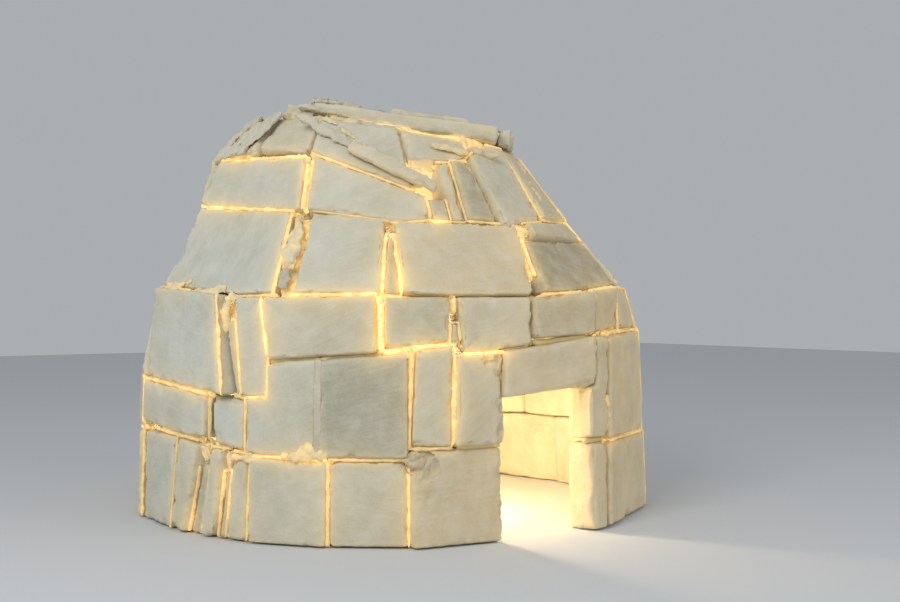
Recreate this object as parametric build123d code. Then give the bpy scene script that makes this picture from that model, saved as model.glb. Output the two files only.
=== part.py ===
"""An igloo of sawn snow blocks.

Five courses of flat blocks stand in rings around a low doorway. The lower wall is upright, the
upper courses lean in, and a ring of leaning slabs carries the long slabs that close the roof.
Every block is a flat slab trimmed by planes: its two side joints point at the middle of the room,
and its foot is trimmed to the heads of the blocks under it, so that neighbours meet face to face.

Millimetres, Z up, ground at Z = 0, doorway facing -Y.
A bearing is an angle in degrees about the upright axis, 0 at the doorway and 90 at +X.
"""

from build123d import *
import math
import os

# Heads of the five courses
course_1_head = 430
course_2_head = 880
course_3_head = 1160
course_4_head = 1530
course_5_head = 1880

# Outer profile of the wall: heights above the ground, at the heads of courses, and the radius at each
base_radius = 1390
knee_height = course_2_head
knee_radius = 1362
hip_height = course_3_head
hip_radius = 1290
shoulder_height = course_4_head
shoulder_radius = 1035
eave_height = course_5_head
eave_radius = 848
rim_height = 2120
rim_radius = 612

# The rings drift sideways as they close
drift_height = 1300
crown_drift = 125
crown_bearing = -126

# Blocks
wall_thickness = 180
roof_thickness = 130
joint_mouth = 9
joint_mouth_depth = 80

# Round a course the faces stand out or back by these shares of the unevenness, in turn, and a piece
# that is set back is thinner by this share of its set-back
unevenness = 9
face_turns = (-1, 0.5, -0.5, 1, 0)
setback_share = 0.5

# The step cut in a block of course 2: the bearing of its side and how far it lies below the course
step_bearing = 301
step_drop = 210

# The thin slab that levels course 4: bearings of its left end at foot and head, and its head's rise
levelling_left = (8, 9)
levelling_rise = 20

# Doorway
doorway_width = 500
doorway_height = 665
lintel_rise = 40
lintel_half_angle = 12.4
lintel_end_lean = 1.2
lintel_left_rise = 10

# Course 3 is this high over the right of the doorway, where course 2 stands above its own height
over_door_height = 205
high_rise = course_3_head - over_door_height - course_2_head

# Long slabs that close the roof, lying on one sloping bed
closing_bed_height = 2030
closing_bed_slope = 8
closing_bed_bearing = 54

middle_slab_thickness = 120

# Name, reach down the bed's slope, reach across it, lift off the bed and thickness
closing_slabs = [
    ("closing_slab_front", -300, 690, -510, -195, 0, 105),
    ("closing_slab_middle", -470, 790, -190, 160, 0, middle_slab_thickness),
    ("closing_slab_back", -300, 740, 165, 540, 0, 110),
    ("small_roof_slabs", 90, 540, -120, 150, middle_slab_thickness, 60),
    ("small_roof_slabs", 695, 765, -360, -195, 0, 115),
    ("small_roof_slabs", -350, -90, -150, 50, middle_slab_thickness, 45),
]

# The slab that leans up from the sloping head at the front, and the two planks laid end to end across
# it: where their lower edges meet on its face, their turn, and the length, width and thickness of each
leaning_left = 306
plank_seam = (105, 21)
plank_turn = -7
upper_plank = (280, 90, 50)
lower_plank = (235, 70, 58)

ground = Plane.XY

# A slab is sawn from stock that is longer than any block
stock_length = base_radius

# Blocks within this many degrees are fitted to each other, and heads that differ by less are one bed
joint_reach = 1.5
bed_step = 45


def heading(bearing):
    """The level unit vector that points out along a bearing."""
    angle = math.radians(bearing)
    return Vector(math.sin(angle), -math.cos(angle), 0)


def outer_radius(height):
    """The wall's outer radius, straight between the profile's named heights."""
    profile = [
        (0, base_radius),
        (knee_height, knee_radius),
        (hip_height, hip_radius),
        (shoulder_height, shoulder_radius),
        (eave_height, eave_radius),
        (rim_height, rim_radius),
    ]
    for (low, low_radius), (high, high_radius) in zip(profile, profile[1:]):
        if height <= high:
            break
    return low_radius + (high_radius - low_radius) * (height - low) / (high - low)


def ring_centre(height):
    """The middle of the ring at a height: plumb at first, then drifting as the wall closes."""
    share = max(0, (height - drift_height) / (eave_height - drift_height))
    return heading(crown_bearing) * (crown_drift * min(share, 1)) + Vector(0, 0, height)


def ring_point(bearing, height, inset=0):
    return ring_centre(height) + heading(bearing) * (outer_radius(height) - inset)


def joint_plane(low_bearing, high_bearing, foot, head):
    """A side joint through its outer edge, square to the wall, facing the larger bearing."""
    low = ring_point(low_bearing, foot)
    high = ring_point(high_bearing, head)
    outward = heading((low_bearing + high_bearing) / 2)
    return Plane(origin=low, x_dir=outward, z_dir=(high - low).cross(outward))


def face_plane(left, right, foot, head, inset):
    """A block's flat outer face: x runs along the course, y up the face and z outward."""
    bearing = (sum(left) + sum(right)) / 4
    half_angle = math.radians((sum(right) - sum(left)) / 4)
    flattening = (1 - math.cos(half_angle)) / 2
    low = ring_point(bearing, foot, inset + flattening * outer_radius(foot))
    high = ring_point(bearing, head, inset + flattening * outer_radius(head))
    along = heading(bearing + 90)
    return Plane(origin=low, x_dir=along, z_dir=along.cross(high - low))


def bed_plane(face, half_length, left_height, right_height):
    """A bed square to a face, at the given heights at the face's two ends."""
    left = (left_height - face.origin.Z) / face.y_dir.Z
    right = (right_height - face.origin.Z) / face.y_dir.Z
    edge = face.x_dir * (2 * half_length) + face.y_dir * (right - left)
    origin = face.origin + face.y_dir * ((left + right) / 2)
    return Plane(origin=origin, x_dir=edge, z_dir=face.z_dir.cross(edge))


def keep_below(solid, plane):
    return split(solid, bisect_by=plane, keep=Keep.BOTTOM)


def mouth_plane(side, face):
    """The plane that opens a joint toward the outside, from part way through the wall."""
    outward = face.z_dir - side.z_dir * face.z_dir.dot(side.z_dir)
    outward = outward.normalized()
    reach = (side.origin - face.origin).dot(face.z_dir) + joint_mouth_depth
    pivot = side.origin - outward * (reach / outward.dot(face.z_dir))
    return Plane(origin=pivot, z_dir=side.z_dir * joint_mouth_depth + outward * joint_mouth)


def slab_between(face, thickness, sides):
    """A flat slab behind a face, trimmed by its side planes, each open at its mouth."""
    stock = Box(stock_length, stock_length, thickness)
    slab = face * Pos(0, 0, -thickness / 2) * stock
    for side in sides:
        slab = keep_below(slab, side)
        slab = keep_below(slab, mouth_plane(side, face))
    return slab


def notched(solid, planes):
    """A solid with the part of it that lies below all of the planes cut away."""
    notch = Box(3 * stock_length, 3 * stock_length, 3 * stock_length)
    for plane in planes:
        notch = keep_below(notch, plane)
    return solid - notch


class Block:
    """One block, with its span of bearings and the planes that its neighbours are fitted to."""

    def __init__(self, name, face, head, span, thickness, ends, under):
        self.name = name
        self.face = face
        self.head = head
        self.span = span
        self.ends = ends
        self.solid = slab_between(face, thickness, ends + [head] + under)

    def height(self):
        return self.head.origin.Z

    def shared(self, left, right):
        """How many degrees of this block's head lie between two bearings, below 0 if it is apart."""
        return max(
            min(right + turn, self.span[1]) - max(left + turn, self.span[0]) for turn in (-360, 0, 360)
        )


def bed_height(beds, bearing):
    """The height of the heads at a bearing: the higher one where two blocks meet there."""
    return max((bed.height() for bed in beds if bed.shared(bearing, bearing) > -joint_reach), default=0)


def planes_under(beds, left, right, face):
    """What a block between two bearings is trimmed to: the heads under it, and a taller neighbour's side."""
    carriers = [bed for bed in beds if bed.shared(left, right) > 0]
    if not carriers:
        return [-ground]
    seat = max(bed.height() for bed in carriers)
    planes = []
    for bed in beds:
        if bed.shared(left, right) < -joint_reach:
            continue
        if bed in carriers or bed.height() < seat + bed_step:
            planes.append(-bed.head)
        else:
            planes.append(-min(bed.ends, key=lambda end: (end.origin - face.origin).length))
    return planes


def build_course(rows, head, thickness, beds, doorway=0, trim=None):
    """The blocks of one ring, in order of bearing. A row named open leaves a crack."""
    blocks = []
    joints = [(low, high, bed_height(beds, low)) for name, low, high, *rest in rows]
    joints.append((joints[0][0] + 360, joints[0][1] + 360, joints[0][2]))
    for index, (name, low, high, left_rise, right_rise, inset) in enumerate(rows):
        if name == "open":
            continue
        left, right = joints[index], joints[index + 1]
        ends = [-joint_plane(*left, head), joint_plane(*right, head)]
        if doorway and index == 0:
            ends[0] = Plane(origin=(doorway / 2, -base_radius, 0), z_dir=(-1, 0, 0))
        if doorway and index + 1 == len(rows):
            ends[1] = Plane(origin=(-doorway / 2, -base_radius, 0), z_dir=(1, 0, 0))
        foot = bed_height(beds, (left[0] + right[0]) / 2)
        wobble = unevenness * face_turns[index % len(face_turns)]
        face = face_plane(left[:2], right[:2], foot, head, inset + wobble)
        half_length = outer_radius(head) * math.sin(math.radians(right[1] - left[1]) / 2)
        top = trim or bed_plane(face, half_length, head + left_rise, head + right_rise)
        under = planes_under(beds, left[0], right[0], face)
        depth = thickness - setback_share * inset
        blocks.append(Block(name, face, top, (left[1], right[1]), depth, ends, under))
    return blocks


def named(blocks, name):
    return next(block for block in blocks if block.name == name)


# Each row: name, bearing of the left joint at its foot and at its head, how far the head's left and
# right ends stand above the course's own height, and how far the face is set back.
# Rows without a name are the plain blocks round the sides and back.
door_edge = math.degrees(math.asin(doorway_width / 2 / base_radius))

course_1_rows = [
    ("right_jamb_lower", door_edge, door_edge, 0, 0, 0),
    ("", 16, 17, 0, -10, 0),
    ("", 46, 45, -10, 0, 0),
    ("", 69, 69, 0, -20, 0),
    ("", 91, 92, -20, -20, 0),
    ("", 115, 115, -20, 0, 0),
    ("", 137, 136, 0, 0, 0),
    ("", 160, 160, 0, 10, 0),
    ("", 183, 184, 10, 10, 0),
    ("", 206, 206, 10, 30, 0),
    ("", 229, 229, 30, 40, 0),
    ("", 257, 257, 40, 40, 0),
    ("", 274, 276, 40, 20, 0),
    ("chinking_pieces", 280, 284, -60, -80, 30),
    ("", 284, 287, 10, 0, 0),
    ("chinking_pieces", 289, 291, -110, -90, 40),
    ("", 291, 293, -10, -20, 0),
    ("front_block_1a", 297, 297.5, -25, -30, 0),
    ("front_block_1b", 314, 314, -30, -30, 0),
    ("left_jamb_lower", 329.5, 329.5, 20, 20, 0),
]

course_2_rows = [
    ("right_jamb_upper", door_edge, door_edge, high_rise - 5, high_rise, 0),
    ("", 17, 18.5, high_rise, high_rise + 15, 0),
    ("", 44, 43, high_rise + 15, high_rise + 5, 0),
    ("", 58, 58, high_rise + 5, high_rise - 15, 0),
    ("", 80, 81, 60, 50, 0),
    ("", 104, 103, 50, 20, 0),
    ("", 126, 126, 20, 0, 0),
    ("", 149, 150, 0, -30, 0),
    ("", 172, 172, -30, -60, 0),
    ("", 195, 195, -60, -90, 0),
    ("", 217, 217, -90, -120, 0),
    ("", 240, 239, -120, -150, -25),
    ("", 259.5, 260, -150, -200, -15),
    ("", 287, 287, -200, -step_drop, 0),
    ("front_block_2a", 296, 296, -40, -20, 0),
    ("front_block_2b", 312, 312, -20, 10, 0),
    ("front_block_2c", 329.5, 330.5, 30, 45, 0),
    ("left_jamb_upper", 338, 338.5, 0, 0, 0),
]

course_3_rows = [
    ("", 45, 46, 40, 40, 0),
    ("", 68, 69, 40, 30, 0),
    ("", 92, 92, 30, 20, 0),
    ("", 115, 115, 20, 20, 0),
    ("", 138, 138, 20, 30, 0),
    ("", 161, 160, 30, 30, 0),
    ("", 184, 184, 30, 40, 0),
    ("", 206, 206, 40, 40, 0),
    ("", 229, 230, 40, 40, -25),
    ("front_block_3a", 261, 257, 40, 0, -15),
    ("chinking_pieces", 292.5, 285.5, -120, -120, 35),
    ("front_block_3b", 294.5, 289.5, -10, -10, 0),
    ("front_block_3c", step_bearing, 297.5, -10, 0, 0),
    ("open", 323.5, 323, 0, 0, 0),
    ("front_block_3d", 324.4, 324.4, -10, -10, 0),
    ("chinking_pieces", 337.5, 338.9, -130, -130, 30),
    ("front_block_3e", 340.2, 339.4, -10, -10, 0),
    ("front_block_3f", 355.7, 357.4, -10, 20, 0),
    ("front_block_3g", 374.7, 377.8, 20, 40, 0),
    ("", 386, 392, 40, 40, 0),
]

course_4_rows = [
    ("", 35.8, 36, 20, 30, 0),
    ("", 66, 66, 30, 40, 0),
    ("", 98, 98, 40, 50, 0),
    ("", 128, 129, 50, 60, 0),
    ("", 157, 157, 60, 70, 0),
    ("", 191, 190, 70, 80, 0),
    ("", 222, 222, 80, 90, 0),
    ("front_block_4a", 260.2, 255.8, 90, 30, 12),
    ("chinking_pieces", 301.2, 301.5, -280, -280, 50),
    ("front_block_4b", 305, 306.5, 30, -10, 0),
    ("chinking_pieces", 324, 327.5, -90, -90, 40),
    ("front_block_4c", 328.4, 328.9, -20, -20, 0),
    ("open", 359, 364.8, 0, 0, 0),
    ("front_block_4d", 360.2, 365.8, -100, -90, 0),
]

course_5_rows = [
    ("", 44.5, 45, 130, 130, 0),
    ("", 75, 75, 130, 130, 0),
    ("", 108, 108, 20, 20, 0),
    ("", 142, 142, 20, 20, 0),
    ("", 176, 176, 20, 20, 0),
    ("", 212, 212, 20, 0, 0),
    ("front_block_5a", 253, 255, 0, -40, 10),
    ("open", 303.2, 306, 0, 0, 0),
    ("front_block_5b", 303.8, 307.2, -40, -230, 0),
    ("chinking_pieces", 339.5, 341.2, -250, -250, 25),
    ("", 345.5, 349, -60, -60, 35),
    ("front_block_5c", 349.8, 354.8, -40, -40, 0),
    ("open", 359.2, 362.5, 0, 0, 0),
    ("front_block_5d", 361, 363.5, 0, 130, 0),
    ("", 379.8, 385.3, 130, 130, 0),
]

roof_rows = [
    ("", 108, 108, 0, 0, 0),
    ("", 138, 138, 0, 0, 0),
    ("", 168, 168, 0, 0, 0),
    ("", 198, 198, 0, 0, 0),
    ("", 226, 226, 0, 0, 0),
    ("", 253, 253, 0, 0, 0),
    ("", 280, 280, 0, 0, 0),
    ("open", leaning_left, leaning_left, 0, 0, 0),
    ("front_roof_slab", 338, 338, 0, 0, 0),
    ("open", 366, 366, 0, 0, 0),
]

course_1 = build_course(course_1_rows, course_1_head, wall_thickness, [], doorway_width)
course_2 = build_course(course_2_rows, course_2_head, wall_thickness, course_1, doorway_width)

# The lintel lies over the doorway, its ends let into a notch in each upper jamb.
lintel_left = (-lintel_half_angle, lintel_end_lean - lintel_half_angle)
lintel_right = (lintel_half_angle, lintel_half_angle + lintel_end_lean)
lintel_face = face_plane(lintel_left, lintel_right, course_1_head, course_2_head, 0)
lintel_half_length = base_radius * math.sin(math.radians(lintel_half_angle))
soffit = bed_plane(lintel_face, lintel_half_length, doorway_height, doorway_height + lintel_rise)
lintel_left_height = course_2_head + lintel_left_rise
lintel_right_height = course_2_head + high_rise
lintel_top = bed_plane(lintel_face, lintel_half_length, lintel_left_height, lintel_right_height)
lintel_ends = [
    -joint_plane(*lintel_left, course_1_head, course_2_head),
    joint_plane(*lintel_right, course_1_head, course_2_head),
]
lintel_span = (lintel_left[1], lintel_right[1])
lintel = Block("lintel", lintel_face, lintel_top, lintel_span, wall_thickness, lintel_ends, [-soffit])
for jamb in (course_2[0], course_2[-1]):
    jamb.solid = notched(jamb.solid, lintel_ends + [-soffit])
course_2.append(lintel)

# One block of course 2 is cut with a step, which carries the end of a taller block of course 3.
stepped = named(course_2, "front_block_2a")
step_side = joint_plane(step_bearing, step_bearing, course_1_head, course_2_head)
step_height = course_2_head - step_drop
step_head = bed_plane(stepped.face, base_radius, step_height, step_height)
stepped.solid = notched(stepped.solid, [step_side, -step_head])
step_span = (stepped.span[0], step_bearing)
step = Block("", stepped.face, step_head, step_span, wall_thickness, [stepped.ends[0], step_side], [])
stepped.span = (step_bearing, stepped.span[1])
stepped.ends[0] = -step_side

course_3 = build_course(course_3_rows, course_3_head, wall_thickness, course_2 + [step])
course_4 = build_course(course_4_rows, course_4_head, wall_thickness, course_3)

# A thin slab on the low block at the right of course 4 brings it up to the course's height.
low_block = named(course_4, "front_block_4d")
levelling_right = course_4_rows[0][1:3]
levelling_face = face_plane(levelling_left, levelling_right, course_3_head, course_4_head, -unevenness)
levelling_angle = math.radians(levelling_right[1] - levelling_left[1])
levelling_half_length = shoulder_radius * math.sin(levelling_angle / 2)
levelling_height = course_4_head + levelling_rise
levelling_top = bed_plane(levelling_face, levelling_half_length, course_4_head, levelling_height)
levelling_ends = [-joint_plane(*levelling_left, course_3_head, course_4_head), -course_4[0].ends[0]]
levelling_span = (levelling_left[1], levelling_right[1])
levelling_slab = Block(
    "levelling_slab", levelling_face, levelling_top, levelling_span, wall_thickness, levelling_ends,
    [-low_block.head],
)
course_4.append(levelling_slab)

# The long closing slabs lie on one bed that slopes across the roof and trims what is under it.
slope = math.radians(closing_bed_slope)
across = heading(closing_bed_bearing + 90)
bed_normal = heading(closing_bed_bearing) * math.sin(slope) + Vector(0, 0, math.cos(slope))
closing_bed = Plane(origin=ring_centre(closing_bed_height), x_dir=across.cross(bed_normal), z_dir=bed_normal)

course_5 = build_course(course_5_rows, course_5_head, wall_thickness, course_4)
for block in course_5:
    block.solid = keep_below(block.solid, closing_bed)
roof = build_course(roof_rows, rim_height, roof_thickness, course_5, trim=closing_bed)

# A slab leans from the sloping head of the front block of course 5 up to the closing bed.
prop = named(course_5, "front_block_5b")
front_roof_slab = named(roof, "front_roof_slab")
left_neighbour = [block for block in roof if block.span[1] == leaning_left][0]
leaning_right = front_roof_slab.span[0]
leaning_middle = (leaning_left + leaning_right) / 2
leaning_top = ring_point(leaning_middle, closing_bed_height) - prop.head.origin
leaning_face = Plane(
    origin=prop.head.origin, x_dir=prop.head.x_dir, z_dir=prop.head.x_dir.cross(leaning_top)
)
leaning_ends = [-left_neighbour.ends[1], -front_roof_slab.ends[0]]
leaning_span = (leaning_left, leaning_right)
leaning_under = planes_under(course_5, *leaning_span, leaning_face)
leaning_slab = Block(
    "leaning_roof_slab", leaning_face, closing_bed, leaning_span, roof_thickness, leaning_ends, leaning_under
)
roof.append(leaning_slab)

parts = {}


def add(name, solids):
    parts.setdefault(name, []).extend(solids)


courses = {
    "course_1_blocks": course_1,
    "course_2_blocks": course_2,
    "course_3_blocks": course_3,
    "course_4_blocks": course_4,
    "course_5_blocks": course_5,
    "roof_slabs": roof,
}
for group, blocks in courses.items():
    plain = [block.solid for block in blocks if not block.name]
    add(f"{group}_a", plain[0::2])
    add(f"{group}_b", plain[1::2])
    for block in blocks:
        if block.name:
            add(block.name, [block.solid])

for name, start, end, near, far, lift, thickness in closing_slabs:
    slab = Box(end - start, far - near, thickness)
    add(name, [closing_bed * Pos((start + end) / 2, (near + far) / 2, lift + thickness / 2) * slab])

# Two planks lie end to end across the leaning slab, the low end over the course below.
for side, (length, width, thickness) in ((-1, upper_plank), (1, lower_plank)):
    plank = Pos(side * length / 2, width / 2, thickness / 2) * Box(length, width, thickness)
    plank = leaning_face * Pos(*plank_seam, 0) * Rot(0, 0, plank_turn) * plank
    add("leaning_plank", [keep_below(plank, closing_bed) - front_roof_slab.solid])

os.makedirs("parts", exist_ok=True)
for name, solids in parts.items():
    pieces = [piece for solid in solids for piece in solid.solids()]
    export_step(pieces[0] if len(pieces) == 1 else Compound(pieces), f"parts/{name}.step")
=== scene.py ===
import math
import random

import bmesh
import bpy
import numpy as np
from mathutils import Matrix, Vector, noise
from mathutils.kdtree import KDTree


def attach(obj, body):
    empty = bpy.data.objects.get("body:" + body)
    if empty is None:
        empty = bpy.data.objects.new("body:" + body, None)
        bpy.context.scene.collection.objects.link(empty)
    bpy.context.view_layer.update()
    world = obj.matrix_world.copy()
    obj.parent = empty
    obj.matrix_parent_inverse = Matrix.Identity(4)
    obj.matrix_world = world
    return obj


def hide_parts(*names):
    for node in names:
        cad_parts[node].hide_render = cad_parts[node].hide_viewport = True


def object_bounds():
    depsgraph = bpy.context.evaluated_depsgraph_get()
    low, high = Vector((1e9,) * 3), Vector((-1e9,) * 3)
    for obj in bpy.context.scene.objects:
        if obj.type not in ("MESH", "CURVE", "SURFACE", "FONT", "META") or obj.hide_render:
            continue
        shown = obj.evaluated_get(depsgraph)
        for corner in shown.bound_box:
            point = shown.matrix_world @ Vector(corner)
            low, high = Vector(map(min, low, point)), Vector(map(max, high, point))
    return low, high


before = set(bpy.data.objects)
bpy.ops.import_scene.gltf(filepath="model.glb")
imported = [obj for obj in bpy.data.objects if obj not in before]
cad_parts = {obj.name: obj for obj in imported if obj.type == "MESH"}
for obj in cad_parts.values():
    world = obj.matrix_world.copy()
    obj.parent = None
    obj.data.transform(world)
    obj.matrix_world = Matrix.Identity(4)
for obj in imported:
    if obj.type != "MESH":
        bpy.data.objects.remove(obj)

cad_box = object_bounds()

# The sawn slabs
# Every piece of the igloo is wind-packed snow, sawn into flat slabs and trimmed with a knife to fit.
# Each solid of the frame is read once, with its outer face and that face's own directions.
weld = 0.00002
room_middle = Vector((0, 0, 0.9))
flat_roof = 0.9


class Slab:
    """One slab as it was sawn. Seen from outside, along runs to the right and up runs up its face.

    On a flat roof slab along is its longest side instead.
    """

    def __init__(self, node, vertices, faces):
        self.node = node
        self.mesh = bpy.data.meshes.new(node)
        self.mesh.from_pydata(vertices, [], faces)
        solid = bmesh.new()
        solid.from_mesh(self.mesh)
        bmesh.ops.recalc_face_normals(solid, faces=solid.faces)
        bmesh.ops.dissolve_limit(
            solid, angle_limit=math.radians(0.5), verts=solid.verts, edges=solid.edges
        )
        outer = max(solid.faces, key=self.outwardness)
        self.outline = [vertex.co.copy() for vertex in outer.verts]
        self.normal = outer.normal.copy()
        self.middle = outer.calc_center_median()
        solid.free()
        if self.normal.z > flat_roof:
            ends = zip(self.outline, self.outline[1:] + self.outline[:1])
            self.along = max((end - start for start, end in ends), key=lambda edge: edge.length).normalized()
        else:
            self.along = Vector((0, 0, 1)).cross(self.normal).normalized()
        self.up = self.normal.cross(self.along)
        self.half_length = max(abs((point - self.middle).dot(self.along)) for point in self.outline)
        self.half_height = max(abs((point - self.middle).dot(self.up)) for point in self.outline)

    @staticmethod
    def outwardness(face):
        outward = (face.calc_center_median() - room_middle).normalized()
        return face.calc_area() * face.normal.dot(outward)

    def place(self, right, high, depth=0):
        """The point on the outer face at shares of its half length and half height, or behind it."""
        across = self.along * (right * self.half_length) + self.up * (high * self.half_height)
        return self.middle + across - self.normal * depth


def slabs_of(node):
    """The separate solids of a node of the frame, in the order of their corners."""
    solids = bmesh.new()
    solids.from_mesh(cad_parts[node].data)
    bmesh.ops.remove_doubles(solids, verts=solids.verts, dist=weld)
    solids.verts.ensure_lookup_table()
    solids.verts.index_update()
    owner = {}
    for seed in solids.verts:
        reached = [] if seed.index in owner else [seed]
        while reached:
            vertex = reached.pop()
            if vertex.index not in owner:
                owner[vertex.index] = seed.index
                reached.extend(edge.other_vert(vertex) for edge in vertex.link_edges)
    found = []
    for first in sorted(set(owner.values())):
        members = [index for index in sorted(owner) if owner[index] == first]
        number = {index: place for place, index in enumerate(members)}
        corners = [solids.verts[index].co.copy() for index in members]
        faces = [
            [number[vertex.index] for vertex in face.verts]
            for face in solids.faces
            if face.verts[0].index in number
        ]
        found.append(Slab(node, corners, faces))
    solids.free()
    return found


slabs = {node: slabs_of(node) for node in sorted(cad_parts)}
every_slab = [slab for group in slabs.values() for slab in group]

# The joints
# Where two slabs meet, the seam is a narrow groove with snow pressed in a little way behind the face.
# The lamp in the room would shine through it, and its glow is painted: emission in the joint snow
# and a painted halo on the slabs beside it, bright where the fit is loose and none where the slabs
# were cut to touch. Most neighbours at the front have their own strength of glow and the rest share
# one. The name of a ring alone stands for the joints between its own blocks.
sample_step = 0.012
joint_reach = 0.05
joint_strengths = {
    1.2: "3c 3d, 3e left_jamb_upper, 2c 3d",
    1.0: "2b 3d, 5a 5b, 4c chinking_pieces, 3b 3c, 1a 2b, 1a 2a, 3c 4b",
    0.8: "4b chinking_pieces, 3b chinking_pieces, 2a 3b, 4c 4d, 3g 4d, 4a 5a",
    0.65: "3d chinking_pieces, 3d 3e, 3a course_2, 2c left_jamb_upper, 4c 5c",
    0.5: "3f 4d, 2a course_2, 2a course_1, 3c 4a, 2b 2c, 1a 1b, 5b leaning_roof_slab, "
    "course_1 course_2, 5a roof",
    0.4: "1b 2b, 3b course_2, 5c front_roof_slab, 5d front_roof_slab, 5d course_5",
    0.35: "3b 4a, 3a 4a, 4c 5b, course_1, 2c left_jamb_lower, 1a course_1, 3g course_3, 5d levelling_slab",
    0.2: "4b 5b, 3d 4c, 2a 3c, 3f 3g, left_jamb_lower left_jamb_upper, roof",
    0.12: "5c 5d, 3a course_3, 4a course_4, 5a course_5, 4d course_4, 2b 3c, "
    "leaning_roof_slab roof, leaning_roof_slab front_roof_slab",
    0.06: "3e 4c, 3f 4c, 3e lintel, 3f lintel, 4d levelling_slab, 4c 5d, "
    "lintel right_jamb_upper, left_jamb_upper lintel",
    0.04: "3e 3f, right_jamb_lower right_jamb_upper, course_2 right_jamb_upper, course_1 right_jamb_lower",
    0: "2a 2b",
}
top_slabs = {"closing_slab_front", "closing_slab_middle", "closing_slab_back", "small_roof_slabs"}


def called(node):
    """A node's short name: its course and letter, the ring that it is in, or its whole name."""
    for ending in ("front_block_", "_blocks_a", "_blocks_b", "_slabs_a", "_slabs_b"):
        node = node.replace(ending, "")
    return node


strength_of = {
    frozenset(pair.split()): strength
    for strength, pairs in joint_strengths.items()
    for pair in pairs.split(", ")
}


class Joint:
    """A run of points along one edge of a slab where another slab meets it."""

    def __init__(self, first, second):
        self.names = frozenset((called(first.node), called(second.node)))
        self.strength = strength_of.get(self.names)
        self.points = []
        self.inward = []
        self.widths = []


def edge_points(slab):
    """Evenly spaced points along each side of a slab's outer face."""
    sides = zip(slab.outline, slab.outline[1:] + slab.outline[:1])
    for side, (start, end) in enumerate(sides):
        count = max(2, round((end - start).length / sample_step))
        for step in range(count + 1):
            yield side, start.lerp(end, step / count)


samples = [
    (index, side, point)
    for index, slab in enumerate(every_slab)
    for side, point in edge_points(slab)
]
sample_tree = KDTree(len(samples))
for number, sample in enumerate(samples):
    sample_tree.insert(sample[2], number)
sample_tree.balance()

joints = []
last = None
for index, side, point in samples:
    slab = every_slab[index]
    near = [
        (distance, samples[number][0], spot)
        for spot, number, distance in sample_tree.find_range(point, joint_reach)
        if samples[number][0] != index
    ]
    if not near or min(near, key=lambda found: found[0])[1] < index:
        last = None
        continue
    distance, other, spot = min(near, key=lambda found: found[0])
    if last != (index, side, other):
        joints.append(Joint(slab, every_slab[other]))
        last = (index, side, other)
    joints[-1].points.append((point + spot) / 2)
    joints[-1].inward.append(-(slab.normal + every_slab[other].normal).normalized())
    joints[-1].widths.append(distance)
joints = [joint for joint in joints if len(joint.points) > 2 and not joint.names <= top_slabs]

# Along most of a few sides no slab lies within that reach. A painted glow shows along them too: 0 is
# the right side of a slab, 1 its head.
gaping_seams = (
    ("front_block_3a", 0, 0.75),
    ("front_block_4a", 0, 0.6),
    ("front_block_5a", 1, 0.85),
    ("front_roof_slab", 1, 0.3),
    ("front_block_1b", 0, 0.8),
    ("front_block_5d", 1, 0.85),
)
shortest_side = 0.1
seam_offset = 0.005
seam_width = 0.02
for node, side, strength in gaping_seams:
    slab = slabs[node][0]
    outwards = (slab.along, slab.up)[side]
    sides = zip(slab.outline, slab.outline[1:] + slab.outline[:1])
    long_sides = [(start, end) for start, end in sides if (end - start).length > shortest_side]
    start, end = max(long_sides, key=lambda ends: (ends[0] + ends[1]).dot(outwards))
    count = round((end - start).length / sample_step)
    seam = Joint(slab, slab)
    seam.strength = strength
    seam.points = [start.lerp(end, step / count) + outwards * seam_offset for step in range(count + 1)]
    seam.inward = [-slab.normal] * (count + 1)
    seam.widths = [seam_width] * (count + 1)
    joints.append(seam)

# Joints run on into one shared point where the ends of several come close together.
meeting_reach = 0.05
joint_ends = [(joint, end) for joint in joints for end in (0, -1)]
end_tree = KDTree(len(joint_ends))
for number, (joint, end) in enumerate(joint_ends):
    end_tree.insert(joint.points[end], number)
end_tree.balance()
meetings = []
for joint, end in joint_ends:
    found = end_tree.find_range(joint.points[end], meeting_reach)
    others = [spot for spot, number, distance in found if joint_ends[number][0] is not joint]
    if others:
        meetings.append((joint, end, sum(others, joint.points[end].copy()) / (len(others) + 1)))
for joint, end, meeting in meetings:
    place = 0 if end == 0 else len(joint.points)
    joint.points.insert(place, meeting)
    joint.inward.insert(place, joint.inward[end])
    joint.widths.insert(place, joint.widths[end])

glow_patch = 0.3
unseen_glow = 0.45
unevenness = 0.7
brightest = 1.3
for joint in joints:
    joint.glow = []
    for point in joint.points:
        uneven = 1 + unevenness * noise.noise(point / glow_patch + Vector((0, 0, 7)))
        base = unseen_glow * uneven if joint.strength is None else joint.strength
        joint.glow.append(min(max(base * uneven, 0), brightest))

bright = 0.25
glow_points = [
    spot for joint in joints for spot in zip(joint.points, joint.glow) if max(joint.glow) > bright
]
glow_tree = KDTree(len(glow_points))
for number, (point, level) in enumerate(glow_points):
    glow_tree.insert(point, number)
glow_tree.balance()

# Weathering
# Sawn edges crumble as the slabs are set, and wind and lamp heat wear them: corners round off, edges
# chip and the flat faces dish a little. Nearly everywhere this takes snow away.
grid = 0.0125
ring_grid = 0.016
edge_rounds = 22
crust = 0.002
chip_depth = 0.026
side_wear = 0.12
chip_size = 0.11
dish_size = 0.16
crust_size = 0.045
# The halo is painted light: a cream glow round the bright joints, in colour and emission, fading with
# distance.
near_halo = 0.02
near_strength = 0.5
wide_halo = 0.085
wide_strength = 0.42
halo_fall = 1.3
face_depth = 0.05
bite_reach = 1.4
bite_raggedness = 0.45
bite_patch = 0.6


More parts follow.
